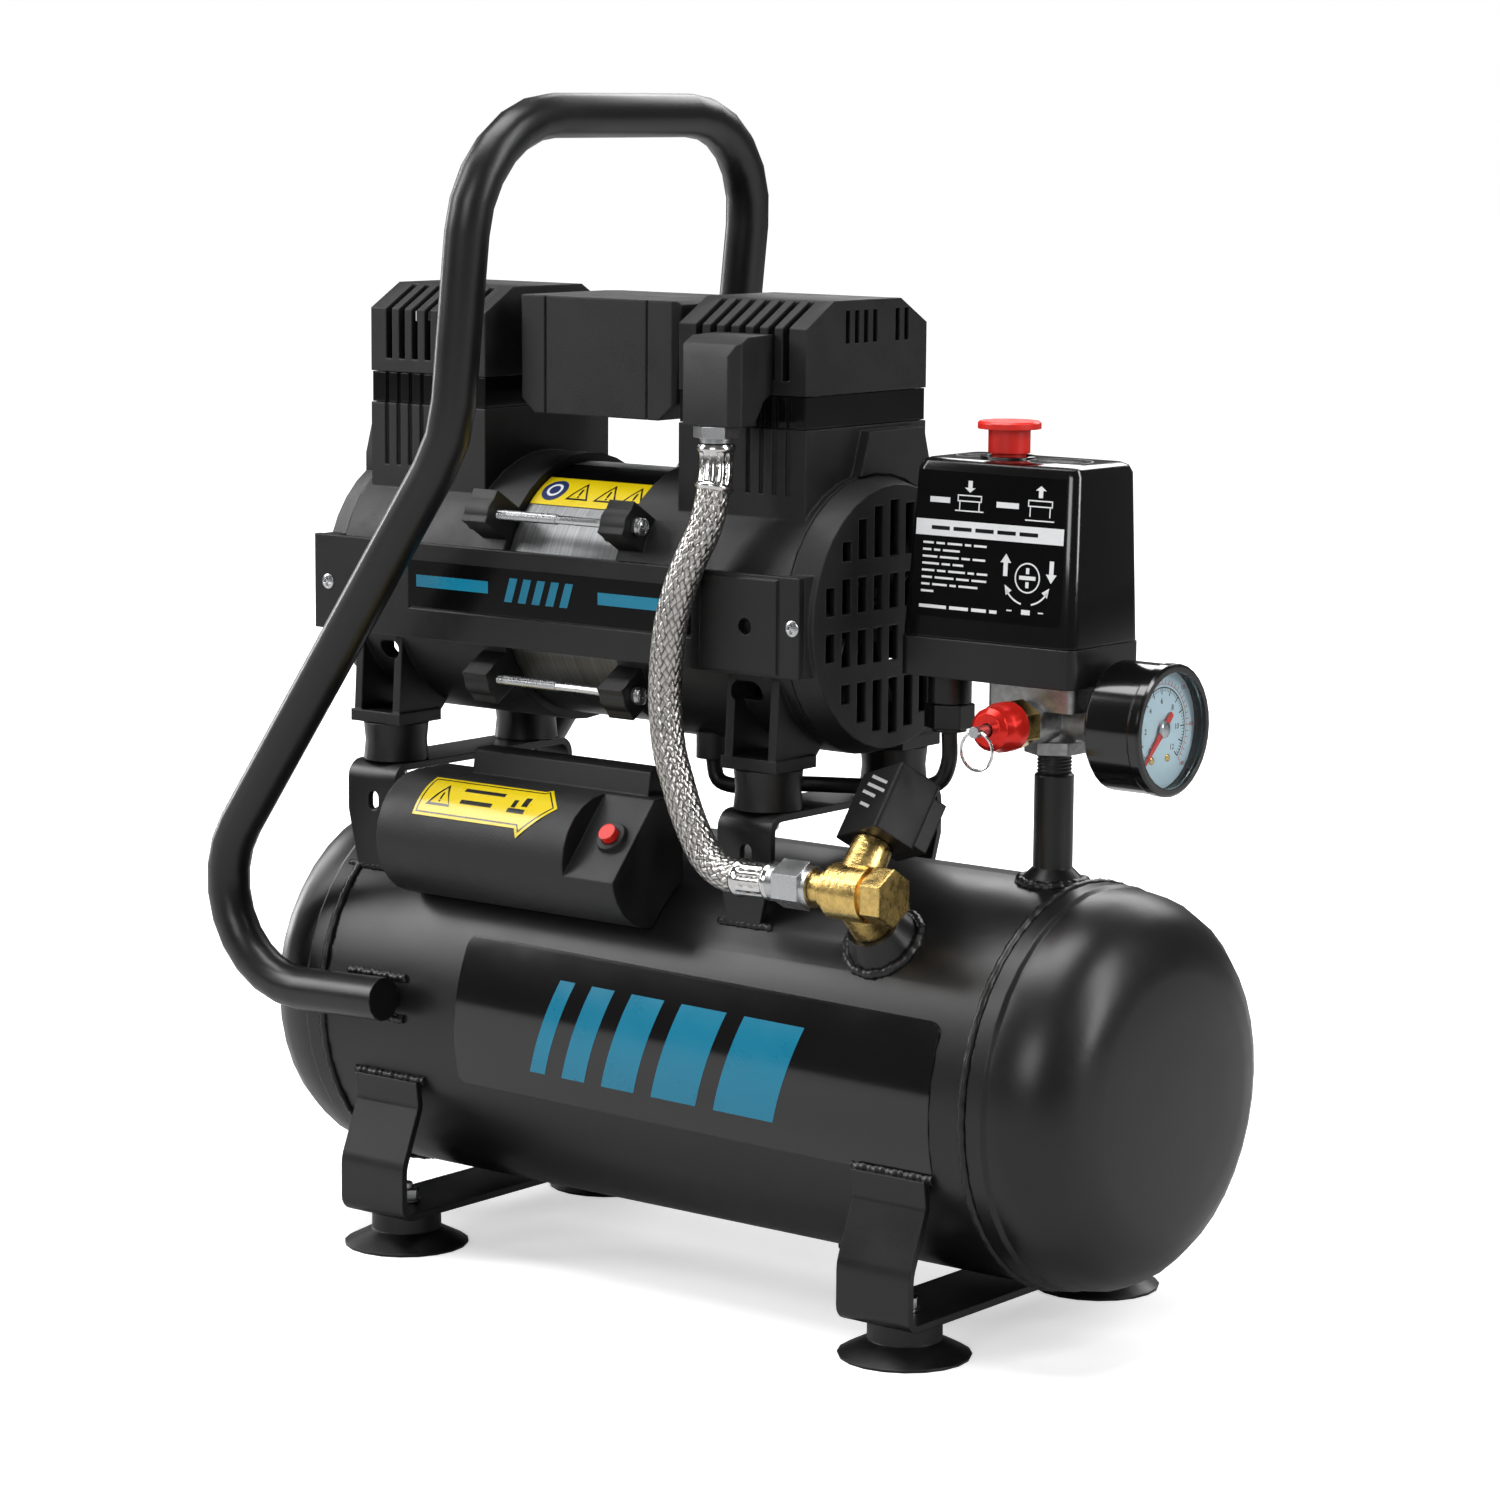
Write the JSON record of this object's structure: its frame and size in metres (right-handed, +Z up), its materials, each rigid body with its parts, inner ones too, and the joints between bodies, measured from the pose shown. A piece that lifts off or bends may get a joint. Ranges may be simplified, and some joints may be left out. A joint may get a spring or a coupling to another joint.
{
  "type": "air compressor",
  "caption": "Portable horizontal-tank air compressor with a twin-piston oil-free pump, carrying hoop, pressure switch, gauge, relief valve, delivery hose and suction feet.",
  "frame": {"origin": "middle of the bounding box in plan, on the floor under the feet", "axes": "+X along the receiver towards the gauge, +Y to the back, +Z up"},
  "size_m": [0.434, 0.1986, 0.4847],
  "materials": {
    "powder_coat": "satin black powder coat on steel",
    "black_plastic": "fine-textured black moulding",
    "gloss_black": "gloss black",
    "black_rubber": "moulded black rubber",
    "laminated_steel": "stacked steel laminations",
    "zinc_plate": "bright zinc plate",
    "brass": "machined brass",
    "steel_braid": "stainless wire braid",
    "cast_alloy": "die-cast alloy",
    "red_plastic": "red moulding",
    "dial_paint": "pale blue printed dial",
    "lens": "clear lens",
    "ring_steel": "polished spring steel"
  },
  "bodies": {
    "compressor": {"tank_shell": "powder_coat", "carry_handle": "powder_coat", "riser_pipe": "powder_coat", "tank_head_left": "powder_coat", "tank_head_right": "powder_coat", "leg_strap_left": "powder_coat", "leg_strap_right": "powder_coat", "motor_cradle_left": "powder_coat", "motor_cradle_right": "powder_coat", "crankcase_left": "black_plastic", "crankcase_right": "black_plastic", "end_grille_left": "black_plastic", "end_grille_right": "black_plastic", "head_cover_left": "black_plastic", "head_cover_right": "black_plastic", "side_panel_front": "black_plastic", "side_panel_back": "black_plastic", "crossover_box": "black_plastic", "outlet_elbow": "black_plastic", "switch_base": "black_plastic", "switch_cover": "black_plastic", "solenoid_coil": "black_plastic", "start_box": "black_plastic", "cylinder_head_left": "gloss_black", "cylinder_head_right": "gloss_black", "gauge_case": "gloss_black", "foot_front_left": "black_rubber", "foot_front_right": "black_rubber", "foot_back_left": "black_rubber", "foot_back_right": "black_rubber", "damper_front_left": "black_rubber", "damper_front_right": "black_rubber", "damper_back_left": "black_rubber", "damper_back_right": "black_rubber", "motor_cable": "black_rubber", "stator_core": "laminated_steel", "tie_rod_front_low": "zinc_plate", "tie_rod_front_high": "zinc_plate", "tie_rod_back_low": "zinc_plate", "tie_rod_back_high": "zinc_plate", "hose_nut_upper": "zinc_plate", "hose_nut_lower": "zinc_plate", "check_valve": "brass", "safety_valve": "brass", "braided_hose": "steel_braid", "manifold": "cast_alloy", "safety_cap": "red_plastic", "gauge_dial": "dial_paint", "gauge_lens": "lens"},
    "rotor": {"rotor_shaft": "laminated_steel", "cooling_fan_left": "black_plastic", "cooling_fan_right": "black_plastic"},
    "piston_left_body": {"piston_left": "cast_alloy"},
    "piston_right_body": {"piston_right": "cast_alloy"},
    "knob": {"switch_knob": "red_plastic"},
    "relief_stem": {"safety_stem": "brass"},
    "relief_ring": {"pull_ring": "ring_steel"},
    "pointer": {"gauge_needle": "red_plastic"},
    "reset": {"reset_button": "red_plastic"},
    "drain": {"drain_valve": "brass"}
  },
  "joints": [
    {"name": "rotor_spin", "type": "hinge", "parent": "compressor", "child": "rotor", "pos_m": [-0.05395, 0, 0.2788], "axis": [1, 0, 0], "continuous": true},
    {"name": "piston_left_slide", "type": "slide", "parent": "compressor", "child": "piston_left_body", "axis": [0, 0, 1], "range_m": [-0.01, 0]},
    {"name": "piston_right_slide", "type": "slide", "parent": "compressor", "child": "piston_right_body", "axis": [0, 0, 1], "range_m": [0, 0.01]},
    {"name": "switch_knob_slide", "type": "slide", "parent": "compressor", "child": "knob", "axis": [0, 0, 1], "range_m": [-0.005, 0]},
    {"name": "relief_stem_pull", "type": "slide", "parent": "compressor", "child": "relief_stem", "axis": [0, -1, 0], "range_m": [0, 0.003], "stiffness_N_per_m": 300},
    {"name": "relief_ring_swing", "type": "hinge", "parent": "relief_stem", "child": "relief_ring", "pos_m": [0.15605, -0.0527, 0.2455], "axis": [1, 0, 0], "range_deg": [-100, 20]},
    {"name": "gauge_pointer_turn", "type": "hinge", "parent": "compressor", "child": "pointer", "pos_m": [0.20705, 0, 0.2455], "axis": [1, 0, 0], "range_deg": [-270, 0], "stiffness_Nm_per_rad": 0.0005},
    {"name": "reset_button_press", "type": "slide", "parent": "compressor", "child": "reset", "axis": [0, -0.7547, 0.6561], "range_m": [-0.0025, 0], "stiffness_N_per_m": 400},
    {"name": "drain_valve_turn", "type": "hinge", "parent": "compressor", "child": "drain", "pos_m": [0.06405, 0, 0.015], "axis": [0, 0, 1], "range_deg": [0, 180]}
  ]
}
